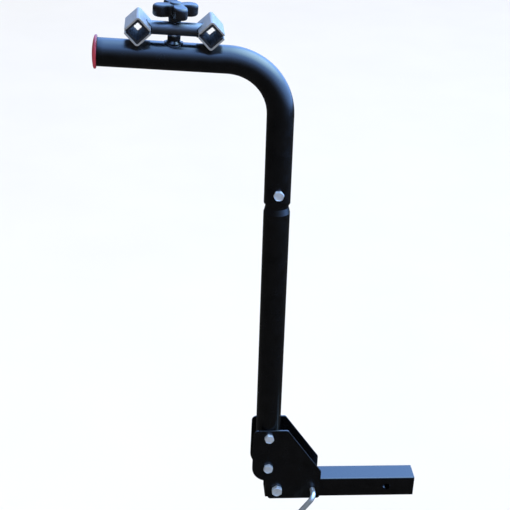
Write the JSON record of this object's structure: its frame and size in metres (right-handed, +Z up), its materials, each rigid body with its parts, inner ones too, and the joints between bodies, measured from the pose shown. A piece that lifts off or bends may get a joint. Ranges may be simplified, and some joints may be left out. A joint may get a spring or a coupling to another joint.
{
  "type": "hitch mounted bike rack",
  "caption": "Hitch rack: square drawbar, tilting round mast bent into an arm, and a knob-tightened clamp with padded V jaws for bicycle frames.",
  "frame": {"origin": "centre of the hitch pin hole, on the drawbar's axis", "axes": "+X along the drawbar towards the vehicle, +Y across along the hitch pin, +Z up"},
  "size_m": [0.7238, 0.1171, 1.1768],
  "materials": {
    "black_paint": "gloss powder coat",
    "zinc_plate": "zinc plated",
    "zinc_jaw": "dull zinc plated sheet",
    "pad_rubber": "ribbed matt rubber",
    "red_plastic": "semi-gloss moulded",
    "knob_plastic": "semi-gloss moulded",
    "nylon": "natural nylon",
    "plain_steel": "bare steel"
  },
  "bodies": {
    "drawbar": {"drawbar": "black_paint", "pivot_sleeve": "plain_steel"},
    "mast": {"near_side_plate": "black_paint", "far_side_plate": "black_paint", "lower_tube": "black_paint", "upper_tube": "black_paint", "end_cap": "red_plastic", "pivot_bolt": "zinc_plate", "pivot_washer": "zinc_plate", "pivot_nut": "zinc_plate", "pivot_spacers": "nylon", "mast_bolts": "zinc_plate", "mast_washers": "zinc_plate", "mast_nuts": "zinc_plate", "joint_bolt": "zinc_plate", "joint_washer": "zinc_plate", "joint_nut": "zinc_plate", "inner_lower_jaw": "zinc_jaw", "outer_lower_jaw": "zinc_jaw", "inner_lower_pad": "pad_rubber", "outer_lower_pad": "pad_rubber", "clamp_boss": "black_paint", "clamp_stud": "zinc_plate"},
    "lock_pin": {"lock_pin": "zinc_plate", "detent_spring": "plain_steel", "detent_ball": "plain_steel"},
    "upper_clamp": {"bridge_tube": "black_paint", "inner_upper_jaw": "zinc_jaw", "outer_upper_jaw": "zinc_jaw", "inner_upper_pad": "pad_rubber", "outer_upper_pad": "pad_rubber", "clamp_washer": "black_paint"},
    "knob": {"knob": "knob_plastic", "knob_insert": "plain_steel"}
  },
  "joints": [
    {"name": "mast_tilt", "type": "hinge", "parent": "drawbar", "child": "mast", "pos_m": [-0.257, 0, 0], "axis": [0, -1, 0], "range_deg": [0, 90]},
    {"name": "lock_pin_pull", "type": "slide", "parent": "mast", "child": "lock_pin", "axis": [0, -1, 0], "range_m": [0, 0.09]},
    {"name": "clamp_lift", "type": "slide", "parent": "mast", "child": "upper_clamp", "axis": [0.0419, 0, 0.9991], "range_m": [0, 0.021]},
    {"name": "knob_spin", "type": "hinge", "parent": "upper_clamp", "child": "knob", "pos_m": [-0.5052, 0, 1.01079], "axis": [0.0419, 0, 0.9991], "range_deg": [0, 4340]}
  ],
  "couplings": [
    {"joint": "knob_spin", "follows": "clamp_lift", "rad_per_m": 3590.4}
  ]
}
